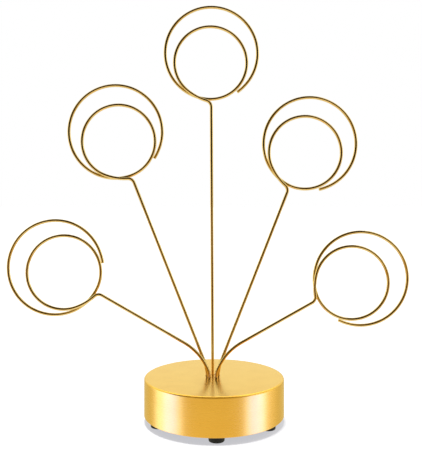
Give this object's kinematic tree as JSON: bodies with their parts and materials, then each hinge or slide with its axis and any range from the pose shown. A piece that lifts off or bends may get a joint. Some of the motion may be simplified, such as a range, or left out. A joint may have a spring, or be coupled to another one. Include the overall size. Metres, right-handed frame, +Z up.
{
  "type": "photo tree stand",
  "caption": "Free-standing photo holder: wire stems fan out of a round weighted base, and each ends in a two-turn wire clip that grips a print.",
  "frame": {"origin": "on the surface that the stand rests on, under the centre of the round base", "axes": "+Z up, -Y towards the viewer, whom the clips face, and the fan of wires spreads along X"},
  "size_m": [0.2317, 0.08, 0.2398],
  "materials": {
    "satin_gold_plate": "satin",
    "polished_gold_wire": "polished",
    "turned_brass": "satin",
    "cast_iron": "matte",
    "black_enamel": "satin",
    "zinc_plate": "satin",
    "black_rubber": "matte"
  },
  "bodies": {
    "root": {"base_shell": "satin_gold_plate", "wire_socket": "turned_brass", "base_weight": "cast_iron", "bottom_plate": "black_enamel", "retaining_washer": "zinc_plate", "retaining_screw": "zinc_plate", "foot_front": "black_rubber", "foot_front_right": "black_rubber", "foot_rear_right": "black_rubber", "foot_rear_left": "black_rubber", "foot_front_left": "black_rubber", "wire_centre": "polished_gold_wire", "wire_left_inner": "polished_gold_wire", "wire_left_outer": "polished_gold_wire", "wire_right_outer": "polished_gold_wire", "wire_right_inner": "polished_gold_wire"}
  },
  "joints": []
}
